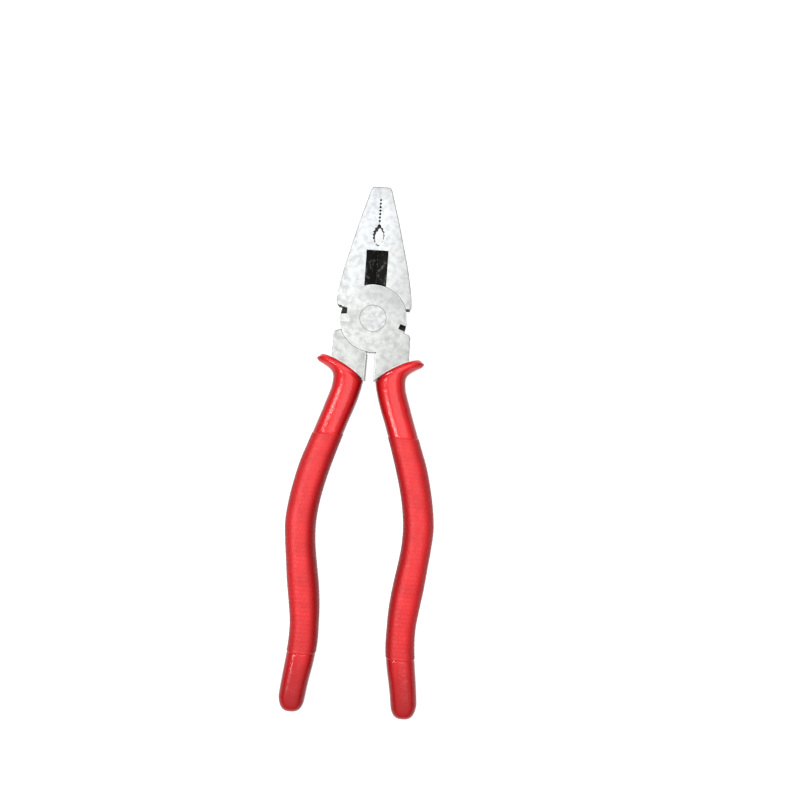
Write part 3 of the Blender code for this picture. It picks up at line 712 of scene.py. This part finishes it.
def moulded_pvc(name, red, deep_red):
    """Glossy, slightly wavy moulded PVC, matte in the grip zone, with grime between the bumps, darker
    towards the domed end, and painted shade on the flanks.
    """
    s = Surface(name)
    relief = s.attribute("relief")
    matte = s.attribute("matte")
    clouds = s.noise(7.0, detail=3.0)
    peel = s.noise(0.45, detail=2.0)
    smudges = s.noise(2.6, detail=4.0, roughness=0.6)
    toned = s.mix(s.remap(clouds, 0.35, 0.68), red, deep_red)
    # Darker towards the grip's domed end
    end_share = s.remap(s.axis("Y"), PIVOT.y - 158 * MM, PIVOT.y - 118 * MM)
    darker_to_end = s.mix(end_share, shaded(deep_red, 0.55), toned)
    valley = s.math("MULTIPLY", s.remap(relief, 0.85, 0.10), 0.16)
    grime_and_painted_shade = s.mix(valley, darker_to_end, shaded(deep_red, 0.50))
    # Painted shade on the inner and outer flanks
    grime_and_painted_shade = s.mix(s.attribute("painted_flank_shade"), grime_and_painted_shade, shaded(deep_red, 0.42))
    rough = s.math("ADD", s.remap(smudges, 0.35, 0.70, 0.13, 0.24), s.math("MULTIPLY", matte, 0.27))
    waves = s.noise(1.7, detail=3.0, roughness=0.55)
    normal = s.bump(peel, 0.02, 0.25, below=s.bump(waves, 0.16, 0.6))
    s.set(Base_Color=grime_and_painted_shade, Metallic=0.0, Roughness=rough, Normal=normal)
    s.set(Specular_IOR_Level=s.remap(s.attribute("painted_flank_shade"), 0.0, 1.0, 0.34, 0.12))
    return s.material


# ---------------------------------------------------------------- the tool

STEEL_DARK = dark_steel("blackened_and_shaded_steel")
STEEL_MACHINED = machined_steel("machined_steel")
STEEL_RIM = rim_steel_painted_shade("rim_steel_painted_shade")
STEEL_WALL = wall_steel("wall_steel")
FRONT_STEEL = blasted_steel("front_blasted_steel", FRONT_LIT_TONE, FRONT_SHADED_TONE)
BACK_STEEL = blasted_steel("back_blasted_steel", BACK_LIT_TONE, BACK_SHADED_TONE)

make_forging("front_forging", "front_jaw_half", "front_lever", False,
             (FRONT_STEEL, STEEL_DARK, STEEL_MACHINED, STEEL_RIM, STEEL_WALL))
make_forging("back_forging", "back_jaw_half", "back_lever", True,
             (BACK_STEEL, STEEL_DARK, STEEL_MACHINED, STEEL_RIM, STEEL_WALL))

rivet = frame["nodes"]["pivot_rivet"]
rivet.data.materials.clear()
rivet.data.materials.append(rivet_steel("rivet_head_steel"))

make_sleeve("right_moulded_sleeve", "right_grip_sleeve", "front_lever", False, 11,
            moulded_pvc("right_red_pvc", RIGHT_RED, RIGHT_DEEP_RED))
make_sleeve("left_moulded_sleeve", "left_grip_sleeve", "back_lever", True, 23,
            moulded_pvc("left_red_pvc", LEFT_RED, LEFT_DEEP_RED))


# ---------------------------------------------------------------- stage

def make_floor():
    mesh = bpy.data.meshes.new("floor")
    bm = bmesh.new()
    bmesh.ops.create_grid(bm, x_segments=4, y_segments=4, size=FLOOR_HALF_SIZE)
    bm.to_mesh(mesh)
    bm.free()
    floor = bpy.data.objects.new("floor", mesh)
    bpy.context.scene.collection.objects.link(floor)
    floor.location.z = CAD_BOUNDS[0].z - FLOOR_DROP
    s = Surface("pale_floor")
    s.set(Base_Color=FLOOR_GREY, Roughness=0.8)
    s.set(Emission_Color=(1.0, 1.0, 1.0, 1.0), Emission_Strength=FLOOR_GLOW)
    mesh.materials.append(s.material)


def area_light(name, location, target, size_x, size_y, power):
    light = bpy.data.lights.new(name, "AREA")
    light.shape = "RECTANGLE"
    light.size = size_x
    light.size_y = size_y
    light.energy = power
    obj = bpy.data.objects.new(name, light)
    bpy.context.scene.collection.objects.link(obj)
    obj.location = location
    aim = Vector(target) - Vector(location)
    obj.rotation_euler = aim.to_track_quat("-Z", "Y").to_euler()


def make_sky():
    """Pale sky, brightest overhead."""
    world = bpy.data.worlds.new("studio")
    world.use_nodes = True
    tree = world.node_tree
    background = tree.nodes["Background"]
    coordinates = tree.nodes.new("ShaderNodeTexCoord")
    split = tree.nodes.new("ShaderNodeSeparateXYZ")
    ramp = tree.nodes.new("ShaderNodeMapRange")
    ramp.interpolation_type = "SMOOTHSTEP"
    ramp.inputs["From Min"].default_value = 0.0
    ramp.inputs["From Max"].default_value = 0.95
    ramp.inputs["To Min"].default_value = SKY_STRENGTH[0]
    ramp.inputs["To Max"].default_value = SKY_STRENGTH[1]
    tree.links.new(coordinates.outputs["Generated"], split.inputs[0])
    tree.links.new(split.outputs["Z"], ramp.inputs["Value"])
    tree.links.new(ramp.outputs["Result"], background.inputs["Strength"])
    background.inputs["Color"].default_value = SKY_WHITE
    bpy.context.scene.world = world


def make_camera():
    """Camera over the tool, rolled so that the tool leans to the right."""
    data = bpy.data.cameras.new("camera")
    data.lens = VIEW_LENS
    data.sensor_width = 36.0
    data.clip_start = 0.01
    data.clip_end = 20.0
    camera = bpy.data.objects.new("camera", data)
    bpy.context.scene.collection.objects.link(camera)
    side = math.radians(VIEW_SIDE_DEG)
    pitch = math.radians(VIEW_PITCH_DEG)
    roll = math.radians(VIEW_ROLL_DEG)
    back = Vector((math.sin(side) * math.cos(pitch), math.sin(pitch),
                   math.cos(side) * math.cos(pitch)))
    aim = Vector((PIVOT.x + VIEW_AIM[0] * MM, PIVOT.y + VIEW_AIM[1] * MM, TOOL_TOP_Z))
    up = Vector((-math.sin(roll), math.cos(roll), 0.0))
    right = up.cross(back).normalized()
    up = back.cross(right)
    matrix = Matrix((right, up, back)).transposed().to_4x4()
    matrix.translation = aim + back * VIEW_DISTANCE
    camera.matrix_world = matrix
    bpy.context.scene.camera = camera


make_floor()
make_sky()
make_camera()
for light_name, light_values in LIGHTS.items():
    area_light(light_name, *light_values)
bpy.context.scene.view_settings.view_transform = "Standard"
